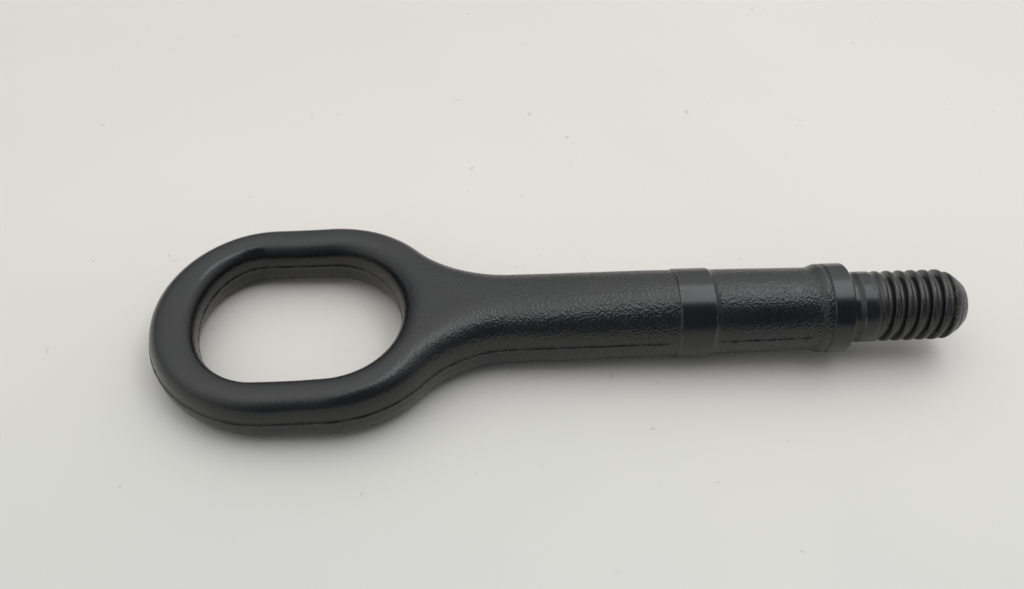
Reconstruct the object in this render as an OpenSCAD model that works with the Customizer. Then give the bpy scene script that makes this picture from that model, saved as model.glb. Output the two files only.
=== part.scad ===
// Screw-in tow eye: one steel forging, turned and threaded at one end.
// Millimetres. The origin is the centre of the shoulder face of the collar.
// +X runs along the thread to its tip, the eye lies in the XY plane, +Z is up.

/* [Eye] */
// Width of the eye across its outside, at the parting plane
eye_width = 62.2; // [58:0.2:66]
// Width of the opening, across the axis of the shank
opening_width = 42.1; // [38:0.1:46]
// Length of the opening, along the axis of the shank
opening_length = 49.2; // [45:0.2:55]
// Width of the bar at the far end of the eye
end_bar = 11.4; // [9:0.1:13]
// Thickness of the eye, square to the parting plane
eye_thickness = 12.7; // [11:0.1:15]
// Length of the straight part of each side of the eye, outside
eye_straight = 12.6; // [8:0.2:18]
// Roundness of the forged section: 2 is an ellipse, larger is squarer
section_power = 2.6; // [2.1:0.05:3.2]

/* [Shank] */
// Distance from the shoulder face to the near end of the opening
shank_length = 111.4; // [104:0.2:125]
// Width of the forged shank, in the parting plane
shank_width = 21.7; // [20:0.1:22]
// Thickness of the forged shank at the neck, square to the parting plane; it ends round at the band
shank_thickness = 18.5; // [16:0.1:20.5]
// Radius in plan where the eye runs out into the shank
neck_radius = 28.4; // [22:0.2:36]
// Height of the rib left along the parting line of the forging
parting_rib = 0.3; // [0.15:0.05:0.6]

/* [Guide bands and collar] */
// Diameter of the turned band in the middle of the shank
band_diameter = 22.3; // [22.1:0.1:24]
// Width of the turned band
band_width = 9; // [6:0.1:12]
// Distance from the shoulder face to the near edge of the turned band
band_offset = 34.6; // [26:0.1:38]
// Diameter of the forged guide next to the band
guide_diameter = 21.5; // [20.5:0.1:22]
// Diameter of the forged guide next to the collar
guide_end_diameter = 20.9; // [20:0.1:21.6]
// Diameter of the turned collar
collar_diameter = 22.6; // [22.2:0.1:24.5]
// Width of the collar with the forged rise beside it
collar_width = 7; // [6.2:0.1:9]
// Width of the turned part of the collar
turned_width = 5.5; // [4:0.1:5.8]
// Chamfer round the shoulder edge of the collar
collar_chamfer = 0.4; // [0.2:0.05:0.8]

/* [Thread] */
// Outside diameter of the thread
thread_diameter = 18; // [17.2:0.1:19]
// Pitch of the thread
thread_pitch = 3.175; // [2.8:0.005:3.6]
// Depth of the thread
thread_depth = 1.5; // [1:0.05:1.7]
// Length of the plain land next to the relief groove
land_width = 3.2; // [2.5:0.1:4.5]
// Diameter of the relief groove
relief_diameter = 16.6; // [15:0.1:16.8]
// Width of the relief groove with its ramp
relief_width = 3.3; // [2.2:0.1:4]
// Distance from the shoulder face to the tip
thread_length = 31; // [27:0.2:36]
// Length of the chamfer at the tip
tip_chamfer = 5.2; // [3:0.1:6]
// Diameter of the flat end of the tip
tip_diameter = 11; // [10:0.1:13]

/* [Hidden] */

forged_black = [0.13, 0.13, 0.14];
turned_black = [0.20, 0.20, 0.21];
thread_grey = [0.27, 0.27, 0.27];

// Plan outline: half widths, centres of the end curves and of the neck fillet
eye_r = eye_width / 2;
open_r = opening_width / 2;
shank_r = shank_width / 2;
open_x1 = -shank_length;
open_x0 = open_x1 - opening_length;
eye_x0 = open_x0 - end_bar;
open_c0 = open_x0 + 0.70 * open_r;
open_c1 = open_x1 - 0.83 * open_r;
eye_c1 = open_c1 - 0.7;
eye_c0 = eye_c1 - eye_straight;
eye_nose = eye_c0 - eye_x0;
turn = acos((shank_r + neck_radius) / (eye_r + neck_radius));
fillet_x = eye_c1 + (eye_r + neck_radius) * sin(turn);
fillet_y = shank_r + neck_radius;

// Forged section: half heights, half widths of the rounded edges
eye_z = eye_thickness / 2;
shank_z = shank_thickness / 2;
side_b = (eye_r - open_r) / 2;
rise_x0 = open_x1 - 28;
rise_x1 = open_x1 + 22;
band_x0 = -band_offset - band_width;
forge_end = band_x0 + band_width / 2;
neck_x = open_x1 + 13.4;

// Mesh counts of the forging
n_end = 26;
n_side = 3;
n_neck = 9;
n_arch = 18;
n_edge = 5;
n_shank = 13;
rib_z = 0.4;
rib_tip_z = 0.18;

function mix(a, b, t) = a + (b - a) * t;
function unit(t) = min(1, max(0, t));
function ease(t) = unit(t) * unit(t) * (3 - 2 * unit(t));
function spread(a, p) = pow(abs(cos(a)), 2 / p);
function edge(q, p) = q >= 1 ? 1 : q <= 0 ? 0 : pow(1 - pow(1 - q, p), 1 / p);

// Half height, edge half width and roundness along the part
function to_band(x) = unit((x - fillet_x) / (band_x0 - fillet_x));
function half_z(x) =
    mix(mix(eye_z, shank_z, ease((x - rise_x0) / (rise_x1 - rise_x0))), shank_r, to_band(x));
function edge_b(x) = mix(side_b, shank_r, ease((x - eye_c1) / (fillet_x - eye_c1)));
function power(x) = mix(section_power, 2, to_band(x));

// Outer half width and its slope for any x right of the eye's straight sides
function half_y(x) =
    x < eye_c1 + eye_r * sin(turn) ? sqrt(pow(eye_r, 2) - pow(x - eye_c1, 2)) :
    x < fillet_x ? fillet_y - sqrt(pow(neck_radius, 2) - pow(fillet_x - x, 2)) :
    shank_r;
function slope_cos(x) =
    x < fillet_x ? sqrt(1 - pow((fillet_x - x) / neck_radius, 2)) : 1;

// Distance from a plan point to the outer outline, right of the straight sides
function out_gap(x, y) =
    atan2(x - eye_c1, abs(y)) <= turn ? eye_r - norm([x - eye_c1, y]) :
    x < fillet_x ? norm([x - fillet_x, abs(y) - fillet_y]) - neck_radius :
    shank_r - abs(y);
function out_height(x, y) = edge(out_gap(x, y) / edge_b(x), power(x));

// Stations round the eye: inner plan point, outer plan point, outer normal, arch angle
function inner_left(t) = [open_c0 + (open_c0 - open_x0) * cos(t), open_r * sin(t)];
function outer_left(t) = [eye_c0 + eye_nose * cos(t), eye_r * sin(t)];
function inner_right(t) = [open_c1 + (open_x1 - open_c1) * cos(t), open_r * sin(t)];
function left_normal(t) =
    let (n = [cos(t) / eye_nose, sin(t) / eye_r])
        n / norm(n);

neck_turn = asin((fillet_x - neck_x) / neck_radius);
arc_len = eye_r * turn;
neck_len = arc_len + neck_radius * (turn - neck_turn);
function neck_outer(s) =
    s * neck_len <= arc_len ?
        let (a = s * neck_len / eye_r) [eye_c1 + eye_r * sin(a), eye_r * cos(a)] :
        let (a = turn - (s * neck_len - arc_len) / neck_radius)
            [fillet_x - neck_radius * sin(a), fillet_y - neck_radius * cos(a)];
function neck_normal(s) =
    let (a = s * neck_len <= arc_len ? s * neck_len / eye_r :
             turn - (s * neck_len - arc_len) / neck_radius)
        [sin(a), cos(a)];
inner_turn = 52;
neck_half = half_y(neck_x);
function flip(p) = [p[0], -p[1]];
function arch_y(x, a) = half_y(x) * sign(cos(a)) * spread(a, power(x));

stations = [
    for (i = [0:n_end]) let (t = 90 + 180 * i / n_end)
        [inner_left(t), outer_left(t), left_normal(t), -1],
    for (i = [1:n_side - 1]) let (s = i / n_side)
        [[mix(open_c0, open_c1, s), -open_r], [mix(eye_c0, eye_c1, s), -eye_r], [0, -1], -1],
    for (i = [0:n_neck]) let (s = i / n_neck)
        [flip(inner_right(90 - inner_turn * s)), flip(neck_outer(s)), flip(neck_normal(s)), -1],
    for (i = [1:n_arch - 1])
        let (
            a = 180 - 180 * i / n_arch,
            t = inner_turn - 90 + (180 - 2 * inner_turn) * i / n_arch
        )
        [inner_right(t), [neck_x, arch_y(neck_x, a)], [0, 0], a],
    for (i = [n_neck:-1:0]) let (s = i / n_neck)
        [inner_right(90 - inner_turn * s), neck_outer(s), neck_normal(s), -1],
    for (i = [n_side - 1:-1:1]) let (s = i / n_side)
        [[mix(open_c0, open_c1, s), open_r], [mix(eye_c0, eye_c1, s), eye_r], [0, 1], -1]
];
n_stations = len(stations);
corner_near = n_end + n_side + n_neck;
corner_far = corner_near + n_arch;

// Points of one section from the opening to the outside, as [distance, height]
n_across = 2 * n_edge + 2;
function step_at(k) = 90 * k / n_edge;
function across(s, k) =
    let (
        width = norm(s[1] - s[0]),
        p = section_power,
        first = min(width / 2, mix(side_b, 6.2, ease((s[0][0] - open_c1) / 12))),
        last = min(width - first, 9),
        near_k = min(k, n_across - k),
        ring_low = width / 2 * (1 - spread(90 * near_k / (n_edge + 1), p)),
        ring_d = k <= n_edge + 1 ? ring_low : width - ring_low,
        loose = s[3] < 0 ? 0 : ease(1.15 * sin(s[3])),
        tight_d = k == n_edge + 1 ? mix(first, width - last, 0.5) :
            width - last * (1 - spread(step_at(n_across - k), p)),
        even_d = mix(first, width, (k - n_edge) / (n_edge + 2)),
        web_d = k <= n_edge ? first * (1 - spread(step_at(k), p)) : mix(tight_d, even_d, loose),
        plain = s[0][0] < open_c1 || s[1][0] <= eye_c1
    )
    plain ? ring_d : mix(ring_d, web_d, ease((width - first - last) / 4));
function sheet_height(s, k) =
    let (
        width = norm(s[1] - s[0]),
        d = across(s, k),
        q = s[0] + (s[1] - s[0]) * (width > 0 ? d / width : 0),
        b = min(width / 2, mix(side_b, 6.2, ease((s[0][0] - open_c1) / 12))),
        left = s[0][0] < open_c1 || s[1][0] <= eye_c1,
        rise = edge(d / (left ? width / 2 : b), section_power),
        fall = left ? edge((width - d) / (width / 2), section_power) : out_height(q[0], q[1])
    )
    k == 0 ? rib_z : (k == n_across && s[3] < 0) ? rib_z :
    max(rib_z + 0.05, half_z(q[0]) * rise * fall);
function sheet_point(s, k, side) =
    let (width = norm(s[1] - s[0]), q = s[0] + (s[1] - s[0]) * across(s, k) / width)
        [q[0], q[1], side * sheet_height(s, k)];
function inner_dir(s) = (s[0] - s[1]) / norm(s[0] - s[1]);

function section_points(s) = [
    let (q = s[0] + inner_dir(s) * parting_rib * 0.6) [q[0], q[1], rib_tip_z],
    for (k = [0:n_across]) sheet_point(s, k, 1),
    let (q = s[1] + s[2] * parting_rib) [q[0], q[1], rib_tip_z],
    let (q = s[1] + s[2] * parting_rib) [q[0], q[1], -rib_tip_z],
    for (k = [n_across:-1:0]) sheet_point(s, k, -1),
    let (q = s[0] + inner_dir(s) * parting_rib * 0.6) [q[0], q[1], -rib_tip_z]
];
n_ring = 2 * n_across + 6;
function at_eye(i, k) = (i % n_stations) * n_ring + (k % n_ring);

// Sections of the shank, from the neck into the turned band
function rib_at(x) = parting_rib * mix(0.15, 1, unit((band_x0 - 1 - x) / 5));
function shank_height(x, y, a) =
    (a == 0 || a == 180) ? rib_z : max(rib_z + 0.05, half_z(x) * out_height(x, y));
function shank_points(x) = [
    for (i = [0:n_arch]) let (a = 180 - 180 * i / n_arch, y = arch_y(x, a))
        [x, y, shank_height(x, y, a)],
    [x, half_y(x) + rib_at(x) / slope_cos(x), rib_tip_z],
    [x, half_y(x) + rib_at(x) / slope_cos(x), -rib_tip_z],
    for (i = [0:n_arch]) let (a = 180 * i / n_arch, y = arch_y(x, a))
        [x, y, -shank_height(x, y, a)],
    [x, -half_y(x) - rib_at(x) / slope_cos(x), -rib_tip_z],
    [x, -half_y(x) - rib_at(x) / slope_cos(x), rib_tip_z]
];
shank_xs = [
    for (i = [1:n_shank - 3]) mix(neck_x, band_x0 - 5, pow(i / (n_shank - 3), 1.35)),
    band_x0 - 3,
    band_x0 - 1,
    forge_end
];
n_around = 2 * n_arch + 6;
shank_base = n_stations * n_ring;
function at_neck(q) =
    q <= n_arch ? at_eye(corner_near + q, n_across + 1) :
    q <= n_arch + 2 ? at_eye(corner_far, n_across + 2 + (q - n_arch - 1)) :
    q <= 2 * n_arch + 3 ? at_eye(corner_far - (q - n_arch - 3), n_across + 4) :
    at_eye(corner_near, n_across + 3 - (q - 2 * n_arch - 4));
function at_shank(m, q) =
    m == 0 ? at_neck(q % n_around) : shank_base + (m - 1) * n_around + (q % n_around);
cap_point = shank_base + n_shank * n_around;

forging_points = [
    for (s = stations) each section_points(s),
    for (x = shank_xs) each shank_points(x),
    [forge_end, 0, 0]
];
function quad(a, b, c, d) = [[a, b, c], [a, c, d]];
function in_arch(i) = i >= corner_near && i < corner_far;
function open_edge(k) = k > n_across && k < n_across + 4;
forging_faces = [
    for (i = [0:n_stations - 1]) for (k = [0:n_ring - 1])
        if (!(in_arch(i) && open_edge(k)))
            each quad(at_eye(i, k), at_eye(i + 1, k), at_eye(i + 1, k + 1), at_eye(i, k + 1)),
    for (m = [0:n_shank - 1]) for (q = [0:n_around - 1])
        each quad(at_shank(m, q), at_shank(m, q + 1), at_shank(m + 1, q + 1), at_shank(m + 1, q)),
    for (q = [0:n_around - 1])
        [at_shank(n_shank, q), at_shank(n_shank, q + 1), cap_point]
];

// Thread: radius by position along the axis and angle round it, left hand
thread_r = thread_diameter / 2;
land_x0 = relief_width;
land_x1 = relief_width + land_width;
crest_r = thread_r - 0.02;
crest_shift = 9.47;
n_turn = 36;
per_pitch = 8;
thread_x0 = land_x1 - 0.6;
thread_step = thread_pitch / per_pitch;
thread_rows = floor((thread_length - 0.3 - thread_x0) / thread_step);
function thread_x(i) = i == thread_rows ? thread_length : thread_x0 + i * thread_step;
function tip_r(x) = mix(tip_diameter / 2, thread_r, (thread_length - x) / tip_chamfer);
function groove(x, a) =
    thread_depth * ease(0.5 - 0.5 * cos(360 * (x - crest_shift) / thread_pitch + a))
        * ease((x - land_x1) / (0.9 * thread_pitch));
function thread_radius(x, a) = min(crest_r - groove(x, a), tip_r(x));
thread_points = [
    for (i = [0:thread_rows]) for (j = [0:n_turn - 1])
        let (x = thread_x(i), a = 360 * j / n_turn, r = thread_radius(x, a))
            [x, r * cos(a), r * sin(a)],
    [thread_x0, 0, 0],
    [thread_length, 0, 0]
];
function at_thread(i, j) = i * n_turn + (j % n_turn);
thread_faces = [
    for (i = [0:thread_rows - 1]) for (j = [0:n_turn - 1])
        each [[at_thread(i, j), at_thread(i + 1, j), at_thread(i, j + 1)],
              [at_thread(i + 1, j), at_thread(i + 1, j + 1), at_thread(i, j + 1)]],
    for (j = [0:n_turn - 1])
        [at_thread(0, j), at_thread(0, j + 1), (thread_rows + 1) * n_turn],
    for (j = [0:n_turn - 1])
        [at_thread(thread_rows, j + 1), at_thread(thread_rows, j), (thread_rows + 1) * n_turn + 1]
];

// Turned profile, as [distance along the axis, radius]
band_r = band_diameter / 2;
collar_r = collar_diameter / 2;
relief_floor = 0.62 * relief_width;
turned_profile = [
    [band_x0 - 0.25, 0],
    [band_x0 - 0.25, band_r - 0.25],
    [band_x0, band_r],
    [-band_offset - 0.5, band_r],
    [-band_offset + 0.5, guide_diameter / 2],
    [-collar_width - 2, guide_end_diameter / 2],
    [-collar_width, collar_r - 0.08],
    [-turned_width - 0.1, collar_r - 0.08],
    [-turned_width + 0.05, collar_r - 0.22],
    [-turned_width + 0.3, collar_r],
    [-collar_chamfer, collar_r],
    [0, collar_r - collar_chamfer],
    [0, relief_diameter / 2],
    [relief_floor, relief_diameter / 2],
    [relief_width, thread_r],
    [land_x1, thread_r],
    [land_x1, 0]
];

// Eye, web and shank as they come from the forging dies
module forged_body() {
    color(forged_black)
        polyhedron(points = forging_points, faces = forging_faces, convexity = 8);
}

// Band, guide, collar, relief groove and land, all round the thread axis
module turned_end() {
    color(turned_black)
        rotate([0, 90, 0])
            rotate([0, 0, 90])
                rotate_extrude($fn = 96)
                    polygon([for (p = turned_profile) [p[1], p[0]]]);
}

// Trimmed parting line along the forged guide between band and collar
module guide_ribs() {
    rib_out = guide_end_diameter / 2 + parting_rib * 0.8;
    color(forged_black)
        for (side = [-1, 1])
            translate([-band_offset + 1.2, side * rib_out / 2, 0])
                translate([0, -rib_out / 2, -0.3])
                    cube([band_offset - collar_width - 4.2, rib_out, 0.6]);
}

// Left-hand thread with its run-out, down to the chamfered tip
module thread() {
    color(thread_grey)
        polyhedron(points = thread_points, faces = thread_faces, convexity = 8);
}

module tow_eye() {
    union() {
        forged_body();
        turned_end();
        guide_ribs();
        thread();
    }
}

tow_eye();
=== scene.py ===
"""Looks of the screw-in tow eye: a dense forged and turned mesh, its worn black coat, a pale table
and soft overhead light. Millimetres in the shape code, metres in the scene. The frame is the CAD's:
origin at the centre of the shoulder face, +X along the thread, the eye in the XY plane, +Z up."""
import bpy
import math
import numpy as np
from types import SimpleNamespace
from mathutils import Matrix, Vector, noise


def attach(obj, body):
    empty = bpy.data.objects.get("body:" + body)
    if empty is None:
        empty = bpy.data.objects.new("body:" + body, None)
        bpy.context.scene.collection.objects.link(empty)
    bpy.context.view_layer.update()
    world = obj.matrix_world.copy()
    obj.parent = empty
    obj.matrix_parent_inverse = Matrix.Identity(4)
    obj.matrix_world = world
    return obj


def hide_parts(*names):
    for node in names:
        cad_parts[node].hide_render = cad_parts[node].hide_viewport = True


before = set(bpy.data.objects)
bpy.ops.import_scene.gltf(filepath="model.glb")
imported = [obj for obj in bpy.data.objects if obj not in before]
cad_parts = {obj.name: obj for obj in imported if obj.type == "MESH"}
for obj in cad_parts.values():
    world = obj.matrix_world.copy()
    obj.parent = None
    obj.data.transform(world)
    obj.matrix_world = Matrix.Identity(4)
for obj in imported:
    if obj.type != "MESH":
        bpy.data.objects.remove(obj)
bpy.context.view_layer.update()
MM = 0.001

# Driving sizes, as in part.scad
eye_width, opening_width, opening_length, end_bar = 62.2, 42.1, 49.2, 11.4
eye_thickness, eye_straight, section_power = 12.7, 12.6, 2.6
shank_length, shank_width, shank_thickness, neck_radius = 111.4, 21.7, 18.5, 28.4
parting_rib = 0.3
band_diameter, band_width, band_offset = 22.3, 9.0, 34.6
guide_diameter, guide_end_diameter = 21.5, 20.9
collar_diameter, collar_width, turned_width, collar_chamfer = 22.6, 7.0, 5.5, 0.4
thread_diameter, thread_pitch, thread_depth, land_width = 18.0, 3.175, 1.5, 3.2
relief_diameter, relief_width, thread_length = 16.6, 3.3, 31.0
tip_chamfer, tip_diameter, crest_shift = 5.2, 11.0, 9.47

# Derived plan outline
eye_r, open_r, shank_r = eye_width / 2, opening_width / 2, shank_width / 2
open_x1 = -shank_length
open_x0 = open_x1 - opening_length
eye_x0 = open_x0 - end_bar
open_c0 = open_x0 + 0.70 * open_r
open_c1 = open_x1 - 0.83 * open_r
eye_c1 = open_c1 - 0.7
eye_c0 = eye_c1 - eye_straight
eye_nose = eye_c0 - eye_x0
turn = math.acos((shank_r + neck_radius) / (eye_r + neck_radius))
fillet_x = eye_c1 + (eye_r + neck_radius) * math.sin(turn)
fillet_y = shank_r + neck_radius
eye_z, shank_z = eye_thickness / 2, shank_thickness / 2
side_b = (eye_r - open_r) / 2
rise_x0, rise_x1 = open_x1 - 28, open_x1 + 22
band_x0 = -band_offset - band_width
neck_x = open_x1 + 13.4
inner_turn = 52
band_r, collar_r, thread_r = band_diameter / 2, collar_diameter / 2, thread_diameter / 2
land_x1 = relief_width + land_width

# Rounded edges of the web between eye and shank: at the opening, at the outside, and the runs over which
# they take over from the edges of the eye
web_inner_b, web_outer_b, web_run, web_fade, arch_gain = 6.2, 9.0, 12, 4, 1.15

# Mesh counts: round the left end, along a side, along a neck, across the web, over half a section, over
# half the flat of the web, along the shank
N_END, N_SIDE, N_NECK, N_ARCH, N_HALF, N_FLAT, N_SHANK = 150, 20, 52, 80, 16, 2, 91

# Parting rib: heights of its foot and its tip, least height of the skin over the foot, share of its width
# inside the opening and where it ends at the band
RIB_Z, RIB_TIP_Z, SKIN_RISE, INNER_RIB, RIB_END = 0.40, 0.18, 0.05, 0.6, 0.15

# Where the forging curls up to the band, before it the start of the turned end
BAND_START, CURL_RUN, CURL_REACH, CURL_RISE = 0.25, 0.75, 0.72, 0.45

# Turned end: length of mesh steps, clearance beside a rounded corner, shortest run that is divided
TURNED_STEP, CORNER_GAP, SHORT_RUN = 0.62, 0.03, 0.15

# Thread: mesh step, power of the groove's wave, turns until it is full, rounding and softness of the tip
THREAD_STEP, GROOVE_POWER, RUN_IN, TIP_ROUND, TIP_SOFT, TIP_ZONE = 0.165, 1.35, 0.9, 0.45, 0.12, 6.5
LAND_LEAD, LAND_RUN, LAND_DROP = 0.5, 0.6, 0.02

# Kinds of surface, in the order of the coats
FORGED, TURNED, THREAD = 0, 1, 2


def unit(t):
    return np.clip(t, 0.0, 1.0)


def ease(t):
    t = unit(t)
    return t * t * (3 - 2 * t)


def mix(a, b, t):
    return a + (b - a) * t


def edge(q, p):
    """Height of a rounded edge, as a share, where q runs from the rim to the full height."""
    return (1 - (1 - unit(q)) ** p) ** (1 / p)


def spread(a, p):
    """Half width of a superellipse of power p at the angle a, as a share."""
    return np.abs(np.cos(a)) ** (2 / p)


def to_band(x):
    """How far x lies from the end of the neck (0) to the guide band (1)."""
    return unit((x - fillet_x) / (band_x0 - fillet_x))


def half_z(x):
    return mix(mix(eye_z, shank_z, ease((x - rise_x0) / (rise_x1 - rise_x0))), shank_r, to_band(x))


def edge_b(x):
    return mix(side_b, shank_r, ease((x - eye_c1) / (fillet_x - eye_c1)))


def power(x):
    return mix(section_power, 2.0, to_band(x))


def half_y(x):
    x = np.asarray(x, float)
    ring = np.sqrt(np.maximum(eye_r ** 2 - (x - eye_c1) ** 2, 0))
    fillet = fillet_y - np.sqrt(np.maximum(neck_radius ** 2 - (fillet_x - x) ** 2, 0))
    return np.where(x < eye_c1 + eye_r * math.sin(turn), ring, np.where(x < fillet_x, fillet, shank_r))


def out_gap(x, y):
    """Distance from plan points right of the straight sides to the outer outline."""
    ring = eye_r - np.hypot(x - eye_c1, y)
    fillet = np.hypot(x - fillet_x, np.abs(y) - fillet_y) - neck_radius
    on_ring = np.arctan2(x - eye_c1, np.abs(y)) <= turn
    return np.where(on_ring, ring, np.where(x < fillet_x, fillet, shank_r - np.abs(y)))


def inner_right(t):
    return np.stack([open_c1 + (open_x1 - open_c1) * np.cos(t), open_r * np.sin(t)], -1)


def in_gap(x, y):
    """Distance from plan points right of the straight sides to the rim of the opening."""
    rim = np.vstack([[open_c0, -open_r], inner_right(np.linspace(-math.pi / 2, math.pi / 2, 721)),
                     [open_c0, open_r]])
    a, b = rim[:-1], rim[1:]
    ab = b - a
    out = np.empty(x.size)
    pts = np.stack([x.ravel(), y.ravel()], -1)
    for s in range(0, len(pts), 2000):
        ap = pts[s:s + 2000, None, :] - a[None]
        t = unit((ap * ab).sum(-1) / (ab * ab).sum(-1))
        d = ap - t[..., None] * ab
        out[s:s + 2000] = np.sqrt((d * d).sum(-1).min(1))
    return out.reshape(x.shape)


def torn(x, y):
    """Uneven width of the parting rib, as a share of it."""
    return 0.95 + 0.5 * noise.noise(Vector((x * 0.35, y * 0.35, 5.0)))


def stations():
    """Closed loop round the eye: inner point, outer point, outer normal, angle across the web or -1."""
    inner, outer, normal, arch = [], [], [], []

    def add(i, o, n, a=-1.0):
        inner.append(i)
        outer.append(o)
        normal.append(n)
        arch.append(a)

    def neck(s):
        run = s * (eye_r * turn + neck_radius * (turn - neck_turn))
        a = run / eye_r if run <= eye_r * turn else turn - (run - eye_r * turn) / neck_radius
        if run <= eye_r * turn:
            p = (eye_c1 + eye_r * math.sin(a), eye_r * math.cos(a))
        else:
            p = (fillet_x - neck_radius * math.sin(a), fillet_y - neck_radius * math.cos(a))
        return tuple(inner_right(math.radians(90 - inner_turn * s))), p, (math.sin(a), math.cos(a))

    def flip(v):
        return (v[0], -v[1])

    neck_turn = math.asin((fillet_x - neck_x) / neck_radius)
    for i in range(N_END + 1):
        t = math.pi / 2 + math.pi * i / N_END
        n = np.array([math.cos(t) / eye_nose, math.sin(t) / eye_r])
        add((open_c0 + (open_c0 - open_x0) * math.cos(t), open_r * math.sin(t)),
            (eye_c0 + eye_nose * math.cos(t), eye_r * math.sin(t)), tuple(n / np.hypot(*n)))
    for i in range(1, N_SIDE):
        s = i / N_SIDE
        add((mix(open_c0, open_c1, s), -open_r), (mix(eye_c0, eye_c1, s), -eye_r), (0, -1))
    for i in range(N_NECK + 1):
        p, o, n = neck(i / N_NECK)
        add(flip(p), flip(o), flip(n))
    for i in range(1, N_ARCH):
        a = math.pi * (1 - i / N_ARCH)
        t = math.radians(inner_turn - 90 + (180 - 2 * inner_turn) * i / N_ARCH)
        y = float(half_y(neck_x)) * math.copysign(1, math.cos(a)) * spread(a, float(power(neck_x)))
        add(tuple(inner_right(t)), (neck_x, y), (0, 0), a)
    for i in range(N_NECK, -1, -1):
        add(*neck(i / N_NECK))
    for i in range(N_SIDE - 1, 0, -1):
        s = i / N_SIDE
        add((mix(open_c0, open_c1, s), open_r), (mix(eye_c0, eye_c1, s), eye_r), (0, 1))
    return np.array(inner), np.array(outer), np.array(normal), np.array(arch)


def eye_grid():
    """Points of the eye and web, one closed section for each station, and the two corner stations."""
    inner, outer, normal, arch = stations()
    n, m = len(inner), N_HALF
    last = 2 * m
    k = np.arange(last + 1)[None, :]
    width = np.hypot(*(outer - inner).T)[:, None]
    web = ((inner[:, 0] >= open_c1) & (outer[:, 0] > eye_c1))[:, None]
    step = math.pi / 2 * np.where(k <= m, k, last - k) / m
    low = 1 - spread(step, section_power)
    ring_d = np.where(k <= m, width / 2 * low, width - width / 2 * low)
    web_edge = mix(side_b, web_inner_b, ease((inner[:, :1] - open_c1) / web_run))
    b1 = np.minimum(width / 2, web_edge)
    b2 = np.minimum(width - b1, web_outer_b)
    rim, far_rim = m - N_FLAT, m + N_FLAT
    low1 = 1 - spread(math.pi / 2 * np.minimum(k, rim) / rim, section_power)
    low2 = 1 - spread(math.pi / 2 * np.minimum(last - k, rim) / rim, section_power)
    flat = b1 + (width - b1 - b2) * (k - rim) / (2 * N_FLAT)
    tight = np.where(k <= rim, b1 * low1, np.where(k >= far_rim, width - b2 * low2, flat))
    even = np.where(k <= rim, b1 * low1, b1 + (width - b1) * (k - rim) / far_rim)
    loose = np.where(arch < 0, 0.0, ease(np.sin(np.clip(arch, 0, math.pi)) * arch_gain))[:, None]
    web_d = tight * (1 - loose) + even * loose
    d = np.where(web, mix(ring_d, web_d, ease((width - b1 - b2) / web_fade)), ring_d)
    q = inner[:, None, :] + (outer - inner)[:, None, :] * (d / width)[..., None]
    x, y = q[..., 0], q[..., 1]
    gi = np.where(web, in_gap(x, y), d)
    go = np.where(web, np.maximum(out_gap(x, y), 0), width - d)
    half = (gi + go) / 2
    bi = np.where(web, np.minimum(half, web_edge), width / 2)
    bo = np.where(web, edge_b(x), width / 2)
    h = half_z(x) * edge(gi / bi, section_power) * edge(go / bo, np.where(web, power(x), section_power))
    h = np.maximum(RIB_Z + SKIN_RISE, h)
    h[:, 0] = RIB_Z
    h[arch < 0, -1] = RIB_Z
    inward = (inner - outer) / width
    rough = np.array([torn(*p) for p in outer])[:, None]
    rib_in = inner + inward * parting_rib * INNER_RIB * rough
    rib_out = outer + normal * parting_rib * rough

    def at(p, z):
        return np.concatenate([p, np.full((n, 1), z)], 1)[:, None, :]

    top = np.stack([x, y, h], -1)
    low_sheet = np.stack([x, y, -h], -1)[:, ::-1]
    grid = np.concatenate([at(rib_in, RIB_TIP_Z), top, at(rib_out, RIB_TIP_Z), at(rib_out, -RIB_TIP_Z),
                           low_sheet, at(rib_in, -RIB_TIP_Z)], 1)
    corner = N_END + N_SIDE + N_NECK
    return grid, arch, corner, corner + N_ARCH


# Angle across the top of a section, from the near side to the far side
A_TOP = math.pi * (1 - np.arange(N_ARCH + 1) / N_ARCH)


def shank_section(x):
    """One section of the shank: top, far rib, underside, near rib."""
    y = half_y(x) * np.sign(np.round(np.cos(A_TOP), 12)) * spread(A_TOP, power(x))
    h = np.maximum(RIB_Z + SKIN_RISE, half_z(x) * edge(np.maximum(out_gap(x, y), 0) / edge_b(x), power(x)))
    h[[0, -1]] = RIB_Z
    slope = math.sqrt(1 - ((fillet_x - x) / neck_radius) ** 2) if x < fillet_x else 1.0
    fade = mix(RIB_END, 1, float(unit((band_x0 - 0.6 - x) / 4)))
    out = []
    for side in (1, -1):
        half = float(half_y(x))
        out.append(side * (half + parting_rib * fade * torn(x, side * half) / slope))
    top = np.stack([y, h], -1)
    return np.vstack([top, [[out[0], RIB_TIP_Z], [out[0], -RIB_TIP_Z]], np.stack([y[::-1], -h[::-1]], -1),
                      [[out[1], -RIB_TIP_Z], [out[1], RIB_TIP_Z]]])


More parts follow.
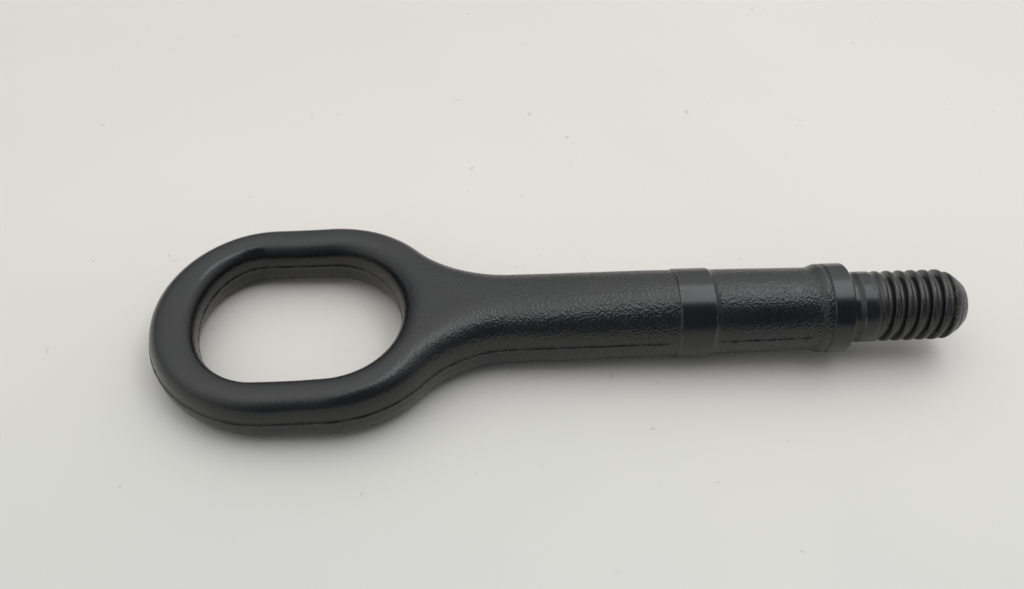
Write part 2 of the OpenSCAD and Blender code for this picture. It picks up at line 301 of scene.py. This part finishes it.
def profile():
    """Stations of the turned end, as (x, radius, kind): forged, turned or thread."""
    out = []

    def run(x0, r0, x1, r1, step, kind):
        count = max(1, int(round(math.hypot(x1 - x0, r1 - r0) / step)))
        for i in range(count):
            t = (i + 1) / count
            out.append((mix(x0, x1, t), mix(r0, r1, t), kind))

    def bead(x, r, u0, u1, size, kind, count=3):
        """A small rounding where direction u0 turns to u1, ending on the new run."""
        p0 = (x - u0[0] * size, r - u0[1] * size)
        p2 = (x + u1[0] * size, r + u1[1] * size)
        for i in range(count + 1):
            t = i / count
            out.append(((1 - t) ** 2 * p0[0] + 2 * t * (1 - t) * x + t * t * p2[0],
                        (1 - t) ** 2 * p0[1] + 2 * t * (1 - t) * r + t * t * p2[1], kind))

    def path(corners):
        for i in range(1, len(corners)):
            (x0, r0, _, size0), (x1, r1, kind, size) = corners[i - 1], corners[i]
            length = math.hypot(x1 - x0, r1 - r0)
            u = ((x1 - x0) / length, (r1 - r0) / length)
            start = (x0 + u[0] * (size0 + CORNER_GAP), r0 + u[1] * (size0 + CORNER_GAP))
            stop = (x1 - u[0] * (size + CORNER_GAP), r1 - u[1] * (size + CORNER_GAP))
            out.append((*start, kind))
            if length - size0 - size > SHORT_RUN:
                run(*start, *stop, TURNED_STEP, kind)
            if i < len(corners) - 1:
                x2, r2 = corners[i + 1][:2]
                nxt = math.hypot(x2 - x1, r2 - r1)
                bead(x1, r1, u, ((x2 - x1) / nxt, (r2 - r1) / nxt), size, kind)

    # Corners of the outline: x, radius, kind of the run that ends there, size of the rounding
    path([
        (band_x0 - BAND_START, band_r - 0.25, TURNED, 0.01),
        (band_x0, band_r, TURNED, 0.06),
        (-band_offset - 0.5, band_r, TURNED, 0.12),
        (-band_offset + 0.35, guide_diameter / 2, TURNED, 0.3),
        (-collar_width - 2, guide_end_diameter / 2, FORGED, 0.6),
        (-collar_width, collar_r - 0.08, FORGED, 0.25),
        (-turned_width - 0.25, collar_r - 0.08, FORGED, 0.05),
        (-turned_width - 0.05, collar_r - 0.26, TURNED, 0.05),
        (-turned_width + 0.3, collar_r, TURNED, 0.06),
        (-collar_chamfer, collar_r, TURNED, 0.08),
        (0, collar_r - collar_chamfer, TURNED, 0.08),
        (0, relief_diameter / 2, TURNED, 0.5),
        (0.62 * relief_width, relief_diameter / 2, TURNED, 0.5),
        (relief_width, thread_r, TURNED, 0.1),
        (land_x1 - LAND_LEAD, thread_r, TURNED, 0.02),
    ])
    x = land_x1 - LAND_LEAD
    while x < thread_length - 0.35:
        out.append((x, None, THREAD))
        x += THREAD_STEP
    out.append((thread_length - 0.12, None, THREAD))
    return out


def thread_radius(x, phi):
    """Radius of the left-hand thread and its rounded tip, at x, for each angle phi."""
    wave = 0.5 - 0.5 * np.cos(2 * math.pi * (x - crest_shift) / thread_pitch + phi)
    groove = thread_depth * ease(wave) ** GROOVE_POWER * ease((x - land_x1) / (RUN_IN * thread_pitch))
    land = float(unit((x - land_x1 + LAND_LEAD) / LAND_RUN)) * LAND_DROP
    down = (thread_length - x) / tip_chamfer
    tip = mix(tip_diameter / 2, thread_r, down) + TIP_ROUND * math.sin(math.pi * float(unit(down)))
    a, b = thread_r - land - groove, np.full_like(groove, tip)
    if x > thread_length - TIP_ZONE:
        return -TIP_SOFT * np.log(np.exp(-a / TIP_SOFT) + np.exp(-b / TIP_SOFT))
    return np.minimum(a, b)


def build_mesh():
    """Eye and web as closed sections round the opening, then shank and turned end as rings along X."""
    grid, arch, near, far = eye_grid()
    n, ring = grid.shape[:2]
    last = 2 * N_HALF
    verts = [grid.reshape(-1, 3)]
    kind = [np.zeros(n * ring, int)]
    faces, face_kind = [], []

    def at(i, k):
        return (i % n) * ring + k % ring

    for i in range(n):
        web = near <= i < far
        for k in range(ring):
            if web and last < k < last + 4:
                continue
            faces.append((at(i, k), at(i, k + 1), at(i + 1, k + 1), at(i + 1, k)))
            face_kind.append(FORGED)
    around = 2 * N_ARCH + 6
    first = []
    for q in range(around):
        if q <= N_ARCH:
            first.append(at(near + q, last + 1))
        elif q <= N_ARCH + 2:
            first.append(at(far, last + 2 + (q - N_ARCH - 1)))
        elif q <= 2 * N_ARCH + 3:
            first.append(at(far - (q - N_ARCH - 3), last + 4))
        else:
            first.append(at(near, last + 3 - (q - 2 * N_ARCH - 4)))
    rows = [np.array(first)]
    count = n * ring
    row_kind = [FORGED]

    def add_row(points, k):
        nonlocal count
        verts.append(points)
        kind.append(np.full(len(points), k))
        rows.append(np.arange(count, count + around))
        row_kind.append(k)
        count += around

    end = band_x0 - BAND_START
    for t in (np.arange(1, N_SHANK + 1) / N_SHANK) ** 1.06:
        x = mix(neck_x, end - CURL_RUN, t)
        add_row(np.column_stack([np.full(around, x), shank_section(x)]), FORGED)
    base = shank_section(end)
    phi = np.arctan2(base[:, 1], base[:, 0])
    rad = np.hypot(base[:, 0], base[:, 1])
    for t in (0.25, 0.5, 0.75, 1.0):
        x = end - CURL_RUN + CURL_REACH * math.sin(t * math.pi / 2)
        grow = CURL_RISE * (1 - math.cos(t * math.pi / 2))
        r = rad + np.minimum(grow, np.maximum(0.0, band_r - 0.3 - rad) * 0.9)
        add_row(np.column_stack([np.full(around, x), r * np.cos(phi), r * np.sin(phi)]), FORGED)
    ribs = np.zeros(around)
    ribs[[N_ARCH + 1, N_ARCH + 2, around - 2, around - 1]] = 1
    for x, r, k in profile():
        if r is None:
            radius = thread_radius(x, phi)
        else:
            radius = np.full(around, float(r))
            if k == FORGED and -band_offset + 0.6 < x < -collar_width - 2.4:
                wide = min(1.0, (x + band_offset - 0.6) / 1.5, (-collar_width - 2.4 - x) / 1.5)
                for q in np.nonzero(ribs)[0]:
                    tear = noise.noise(Vector((x * 0.8, q * 0.01, 9.0)))
                    radius[q] += parting_rib * wide * max(0.3, 0.85 + 0.7 * tear)
        add_row(np.column_stack([np.full(around, x), radius * np.cos(phi), radius * np.sin(phi)]), k)
    for x, r in ((thread_length, tip_diameter / 2 - 0.22), (thread_length, 4.4), (thread_length, 2.2),
                 (thread_length, 0.7)):
        add_row(np.column_stack([np.full(around, x), r * np.cos(phi), r * np.sin(phi)]), THREAD)
    for j in range(len(rows) - 1):
        a, b = rows[j], rows[j + 1]
        for q in range(around):
            p = (q + 1) % around
            faces.append((int(a[q]), int(b[q]), int(b[p]), int(a[p])))
            face_kind.append(max(row_kind[j], row_kind[j + 1]))
    faces.append(tuple(int(v) for v in rows[-1][::-1]))
    face_kind.append(THREAD)
    verts = np.vstack(verts)
    kind = np.concatenate(kind)
    used = np.zeros(len(verts), bool)
    for f in faces:
        used[list(f)] = True
    index = np.cumsum(used) - 1
    faces = [tuple(int(index[v]) for v in f) for f in faces]
    return verts[used], kind[used], faces, face_kind


def bumps(v, scale, height, shift=(0, 0, 0)):
    return noise.noise(v * scale + Vector(shift)) * height


def roughen(mesh, kind):
    """Uneven forged skin, small nicks on the thread, finer marks left to the bump of the coats."""
    n = len(mesh.vertices)
    co = np.empty(n * 3)
    mesh.vertices.foreach_get("co", co)
    co = co.reshape(-1, 3) / MM
    nor = np.empty(n * 3)
    mesh.vertex_normals.foreach_get("vector", nor)
    nor = nor.reshape(-1, 3)
    amount = np.zeros(n)
    for i, p in enumerate(co):
        v = Vector(p)
        if kind[i] == FORGED:
            shank = float(ease((p[0] + 132) / 30))
            pebble = (bumps(v, 0.62, 0.008) + bumps(v, 1.5, 0.014, (7, 3, 1))) * mix(0.5, 1, shank)
            wave = bumps(v, 0.085, 0.09, (2, 9, 4)) + bumps(v, 0.22, 0.012)
            on_rib = abs(p[2]) < 0.5
            amount[i] = (pebble + wave) * (0.25 if on_rib else 1.0)
        elif kind[i] == THREAD:
            amount[i] = bumps(v, 0.9, 0.02) + bumps(v, 2.1, 0.012)
    ends = np.clip((np.abs(co[:, 0] - band_x0 + 0.5) - 0.3) / 1.0, 0, 1)
    co += nor * (amount * ends)[:, None]
    # No bump goes past the sizes of the part
    low = [eye_x0 - parting_rib, -eye_r - parting_rib, -collar_r]
    high = [thread_length, eye_r + parting_rib, collar_r]
    mesh.vertices.foreach_set("co", (np.clip(co, low, high) * MM).ravel())
    mesh.update()


def tree(name, base, rough, specular=0.6):
    """A material and the helpers that add nodes to it. Its places are in metres of the shared frame."""
    mat = bpy.data.materials.new(name)
    mat.use_nodes = True
    nodes, links = mat.node_tree.nodes, mat.node_tree.links
    shader = nodes["Principled BSDF"]
    shader.inputs["Base Color"].default_value = (*base, 1)
    shader.inputs["Roughness"].default_value = rough
    shader.inputs["Specular IOR Level"].default_value = specular
    coords = nodes.new("ShaderNodeTexCoord")

    def node(kind, inputs=None, **props):
        made = nodes.new(kind)
        for key, value in props.items():
            setattr(made, key, value)
        for key, value in (inputs or {}).items():
            if isinstance(value, bpy.types.NodeSocket):
                links.new(value, made.inputs[key])
            else:
                made.inputs[key].default_value = value
        return made

    def noise_at(scale, detail=2.0, rough=0.5, stretch=None):
        vector = coords.outputs["Object"]
        if stretch:
            vector = node("ShaderNodeMapping", {"Vector": vector, "Scale": stretch}).outputs["Vector"]
        return node("ShaderNodeTexNoise", {"Vector": vector, "Scale": scale, "Detail": detail,
                                           "Roughness": rough}).outputs["Fac"]

    def ramp(value, low, high, a, b):
        return node("ShaderNodeMapRange", {"Value": value, "From Min": low, "From Max": high,
                                           "To Min": a, "To Max": b}).outputs["Result"]

    def blend(fac, a, b):
        made = node("ShaderNodeMix", data_type="RGBA")
        for index, value in ((0, fac), (6, a), (7, b)):
            if isinstance(value, bpy.types.NodeSocket):
                links.new(value, made.inputs[index])
            else:
                made.inputs[index].default_value = value if index == 0 else (*value, 1)
        return made.outputs[2]

    def math_of(operation, a, b=0.0):
        return node("ShaderNodeMath", {0: a, 1: b}, operation=operation).outputs[0]

    def drive(**sockets):
        for key, value in sockets.items():
            links.new(value, shader.inputs[key.replace("_", " ")])

    def bump(height, strength, distance, below=None):
        inputs = {"Height": height, "Strength": strength, "Distance": distance}
        if below:
            inputs["Normal"] = below
        return node("ShaderNodeBump", inputs).outputs["Normal"]

    place = coords.outputs["Object"]
    axes = node("ShaderNodeSeparateXYZ", {"Vector": place}).outputs
    return SimpleNamespace(mat=mat, place=place, axes=axes, node=node, noise_at=noise_at, ramp=ramp,
                           blend=blend, math_of=math_of, drive=drive, bump=bump)


def forged_coat():
    """Black coat with a fine orange peel that grows toward the shank."""
    t = tree("forged_black", (0.004, 0.004, 0.005), 0.3)
    cloud = t.noise_at(60, 3)
    fine = t.noise_at(1500, 2)
    dark = t.blend(t.ramp(cloud, 0.35, 0.7, 0, 1), (0.0030, 0.0034, 0.0046), (0.0058, 0.0056, 0.0054))
    gloss = t.math_of("ADD", t.ramp(cloud, 0.3, 0.7, 0.21, 0.29), t.ramp(fine, 0.3, 0.7, -0.03, 0.05))
    peel = t.node("ShaderNodeTexVoronoi", {"Vector": t.place, "Scale": 1700.0, "Smoothness": 0.5},
                  feature="SMOOTH_F1").outputs["Distance"]
    shank = t.ramp(t.axes["X"], -0.118, -0.088, 0.12, 0.60)
    guide = t.ramp(t.axes["X"], -0.040, -0.034, 0.0, 0.22)
    uneven = t.ramp(t.noise_at(45, 2), 0.35, 0.65, 0.45, 1.0)
    area = t.math_of("MULTIPLY", uneven, t.math_of("ADD", shank, guide))
    low = t.bump(t.noise_at(1400, 2), area, 0.00011)
    t.drive(Base_Color=dark, Roughness=gloss, Normal=t.bump(peel, area, 0.00026, low))
    return t.mat


def turned_coat():
    """Smooth black coat with faint turning lines, and patchy lighter lines on the edges of the band and the
    relief: rubbed wear and painted glints.
    """
    t = tree("turned_black", (0.004, 0.004, 0.005), 0.28)
    lines = t.noise_at(1.0, 3, 0.6, (4200, 60, 60))
    cloud = t.noise_at(90, 2)
    rubbed_glint_lines = None
    # Lighter grey lines at the band's edges and the relief's rim: partly rubbed bare steel, partly painted
    # glints that stand in for highlights there
    for x in (band_x0 + 0.08, -band_offset - 0.42, relief_width - 0.02):
        off = t.math_of("ABSOLUTE", t.math_of("SUBTRACT", t.axes["X"], x * MM))
        line = t.ramp(off, 0.00008, 0.00026, 1.0, 0.0)
        rubbed_glint_lines = line if rubbed_glint_lines is None else t.math_of("MAXIMUM", rubbed_glint_lines, line)
    rub_and_glint = t.math_of("MULTIPLY", rubbed_glint_lines, t.ramp(t.noise_at(230, 4, 0.7), 0.46, 0.60, 0.0, 1.0))
    dark = t.blend(t.ramp(cloud, 0.35, 0.7, 0, 1), (0.0028, 0.0028, 0.0042), (0.0052, 0.0050, 0.0052))
    gloss = t.math_of("ADD", t.ramp(cloud, 0.3, 0.7, 0.20, 0.27), t.ramp(lines, 0.3, 0.7, -0.03, 0.04))
    t.drive(Base_Color=t.blend(rub_and_glint, dark, (0.058, 0.060, 0.066)), Roughness=gloss,
            Normal=t.bump(lines, 0.15, 0.00003))
    return t.mat


def thread_coat():
    """Rubbed crests, dust in the grooves and a patchy tip. The radius tells crest from groove."""
    t = tree("thread_worn", (0.006, 0.006, 0.006), 0.3)
    squares = [t.math_of("POWER", t.axes[name], 2.0) for name in ("Y", "Z")]
    radius = t.math_of("SQRT", t.math_of("ADD", *squares))
    crest = t.math_of("MULTIPLY", t.ramp(radius, (thread_r - 0.55) * MM, (thread_r - 0.10) * MM, 0.0, 1.0),
                      t.ramp(t.noise_at(1.0, 3, 0.65, (2400, 230, 230)), 0.44, 0.60, 0.0, 1.0))
    tip = t.ramp(t.axes["X"], (thread_length - tip_chamfer - 0.4) * MM, (thread_length - 3.4) * MM, 0, 1)
    patch = t.noise_at(1500, 3, 0.65)
    patches = t.math_of("MULTIPLY", t.ramp(t.noise_at(520, 3, 0.6), 0.46, 0.56, 0.0, 1.0),
                        t.ramp(patch, 0.40, 0.56, 0, 1))
    bare = t.math_of("MULTIPLY", tip, patches)
    dust = t.ramp(radius, (thread_r - 1.45) * MM, (thread_r - 0.75) * MM, 1.0, 0.0)
    dusty = t.blend(dust, (0.0046, 0.0048, 0.0056), (0.0380, 0.0350, 0.0330))
    coat = t.blend(crest, dusty, (0.0260, 0.0255, 0.0275))
    lines = t.noise_at(1.0, 3, 0.6, (2600, 160, 160))
    gloss = t.math_of("ADD", t.ramp(lines, 0.3, 0.7, 0.15, 0.27), t.ramp(bare, 0, 1, 0, 0.12))
    low = t.bump(lines, 0.5, 0.00007)
    t.drive(Base_Color=t.blend(bare, coat, (0.062, 0.066, 0.052)), Roughness=gloss,
            Normal=t.bump(patch, t.ramp(tip, 0, 1, 0.35, 0.8), 0.00026, low))
    return t.mat


def make_tow_eye():
    verts, kind, faces, face_kind = build_mesh()
    mesh = bpy.data.meshes.new("tow_eye_forging")
    mesh.from_pydata((verts * MM).tolist(), [], faces)
    mesh.polygons.foreach_set("use_smooth", [True] * len(mesh.polygons))
    mesh.update()
    obj = bpy.data.objects.new("tow_eye_forging", mesh)
    bpy.context.scene.collection.objects.link(obj)
    roughen(mesh, kind)
    for coat in (forged_coat(), turned_coat(), thread_coat()):
        mesh.materials.append(coat)
    mesh.polygons.foreach_set("material_index", face_kind)
    mesh.update()
    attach(obj, "root")
    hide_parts("tow_eye")


# Table: the plane under the end of the eye and the edge of the guide band, on which the part rests, as a
# place in X and Z and a slope, with the gap that keeps the uneven skin clear of it
REST_X, REST_Z, REST_SLOPE, TABLE_GAP, TABLE_HALF = -166.3, -6.35, 0.0391, 0.12, 1600.0


def make_table():
    mesh = bpy.data.meshes.new("table")
    ends = (-TABLE_HALF, TABLE_HALF)
    verts = [(x * MM, y * MM, (REST_Z - TABLE_GAP - REST_SLOPE * (x - REST_X)) * MM)
             for y in ends for x in ends]
    mesh.from_pydata(verts, [], [(0, 1, 3, 2)])
    table = bpy.data.objects.new("table", mesh)
    bpy.context.scene.collection.objects.link(table)
    t = tree("table_top", (0.69, 0.68, 0.65), 0.42, 0.5)
    specks = t.ramp(t.noise_at(260, 2, 0.5), 0.74, 0.78, 0, 0.35)
    # The floor grows lighter toward the far side: a painted falloff of the light toward the viewer, with a
    # random cloudy tone on top
    cloud = t.math_of("ADD", t.ramp(t.axes["Y"], -0.09, 0.06, 0.0, 0.8),
                      t.ramp(t.noise_at(9, 3), 0.35, 0.65, 0, 0.2))
    tone_and_painted_falloff = t.blend(cloud, (0.630, 0.628, 0.596), (0.765, 0.724, 0.676))
    t.drive(Base_Color=t.blend(specks, tone_and_painted_falloff, (0.35, 0.33, 0.30)))
    mesh.materials.append(t.mat)


# Ceiling panels in metres: name, x from and to, y from and to, radiance; their height and tint
PANELS = (
    ("light_ceiling", 0.10, 0.34, -0.25, 0.385, 1.70),
    ("light_rows", 0.10, 0.34, -0.25, 0.10, 0.80),
    ("light_tube", 0.10, 0.34, -0.25, -0.21, 0.8),
    ("light_near", -0.16, 0.10, -0.235, -0.04, 0.6),
)
PANEL_Z, PANEL_TINT = 0.70, (0.97, 1.0, 1.04)

# Glows of the room: direction, cosine at which it starts, falloff, strength, colour
FAR_GLOW = ((0.29, 0.38, 0.88), 0.04, 2.1, 1.17, (1.0, 1.0, 0.96))
LEFT_GLOW = ((-0.69, -0.10, 0.717), 0.28, 1.87, 0.91, (1.0, 1.01, 0.98))
# A soft shade in the room: direction, half angles in degrees where it starts and is full
SHADE_AXIS, SHADE_EDGE, SHADE_FULL = (0.21, -0.65, 0.73), 22, 16
ROOM_BASE = (0.125, 0.135, 0.16)


def make_lights():
    """A soft dome with two glows and a shade, and four ceiling panels."""
    for name, x0, x1, y0, y1, radiance in PANELS:
        data = bpy.data.lights.new(name, "AREA")
        data.shape = "RECTANGLE"
        data.size, data.size_y = x1 - x0, y1 - y0
        data.energy = radiance * math.pi * data.size * data.size_y
        data.color = PANEL_TINT
        panel = bpy.data.objects.new(name, data)
        bpy.context.scene.collection.objects.link(panel)
        panel.location = ((x0 + x1) / 2, (y0 + y1) / 2, PANEL_Z)
    world = bpy.data.worlds.new("room")
    world.use_nodes = True
    nodes, links = world.node_tree.nodes, world.node_tree.links
    sky = nodes.new("ShaderNodeTexCoord").outputs["Generated"]

    def made(kind, values, **props):
        node = nodes.new(kind)
        for key, value in props.items():
            setattr(node, key, value)
        for key, value in values.items():
            if isinstance(value, bpy.types.NodeSocket):
                links.new(value, node.inputs[key])
            else:
                node.inputs[key].default_value = value
        return node.outputs["Result"] if "Result" in node.outputs else node.outputs[0]

    def toward(axis, low, high, to_low, to_high, kind="LINEAR"):
        """A value that rises as the sky's direction nears an axis."""
        dot = nodes.new("ShaderNodeVectorMath")
        dot.operation = "DOT_PRODUCT"
        links.new(sky, dot.inputs[0])
        dot.inputs[1].default_value = axis
        return made("ShaderNodeMapRange", {"Value": dot.outputs["Value"], "From Min": low, "From Max": high,
                                           "To Min": to_low, "To Max": to_high}, interpolation_type=kind)

    def glow(axis, low, falloff, strength, colour):
        fall = made("ShaderNodeMath", {0: toward(axis, low, 1.0, 0.0, 1.0), 1: falloff}, operation="POWER")
        bright = [c * strength for c in colour]
        return made("ShaderNodeVectorMath", {0: bright, "Scale": fall}, operation="SCALE")

    glows = made("ShaderNodeVectorMath", {0: glow(*FAR_GLOW), 1: glow(*LEFT_GLOW)}, operation="ADD")
    edge_cos, full_cos = (math.cos(math.radians(v)) for v in (SHADE_EDGE, SHADE_FULL))
    shade = toward(SHADE_AXIS, edge_cos, full_cos, 1.0, 0.0, "SMOOTHSTEP")
    lit = made("ShaderNodeVectorMath", {0: glows, "Scale": shade}, operation="SCALE")
    total = made("ShaderNodeVectorMath", {0: lit, 1: ROOM_BASE}, operation="ADD")
    links.new(total, nodes["Background"].inputs["Color"])
    bpy.context.scene.world = world


# Camera, from a fit to outline points of the photograph: focal length in pixels, elevation, azimuth and
# roll in degrees, target and distance in millimetres, row of the optical axis; size of the frame, sensor
FOCAL_PX, ELEVATION, AZIMUTH, ROLL = 1067.5, 43.024, -5.807, 2.2405
TARGET, DISTANCE, AXIS_ROW = (-82.855, 16.877, 0.0), 278.64, 271.888
FRAME_W, FRAME_H, SENSOR = 1024, 589, 36.0


def make_camera():
    el, az, roll = (math.radians(v) for v in (ELEVATION, AZIMUTH, ROLL))
    back = Vector((math.cos(el) * math.sin(az), -math.cos(el) * math.cos(az), math.sin(el)))
    right = (-back).cross(Vector((0, 0, 1))).normalized()
    up = right.cross(-back)
    rolled_right = math.cos(roll) * right + math.sin(roll) * up
    rolled_up = -math.sin(roll) * right + math.cos(roll) * up
    data = bpy.data.cameras.new("camera")
    data.sensor_width = SENSOR
    data.lens = FOCAL_PX / FRAME_W * SENSOR
    data.shift_y = -(FRAME_H / 2 - AXIS_ROW) / FRAME_W
    data.clip_start, data.clip_end = 0.01, 20
    obj = bpy.data.objects.new("camera", data)
    bpy.context.scene.collection.objects.link(obj)
    pose = Matrix((rolled_right, rolled_up, back)).transposed().to_4x4()
    pose.translation = (Vector(TARGET) + back * DISTANCE) * MM
    obj.matrix_world = pose
    bpy.context.scene.camera = obj


make_tow_eye()
make_table()
make_lights()
make_camera()
bpy.context.scene.view_settings.view_transform = "Standard"
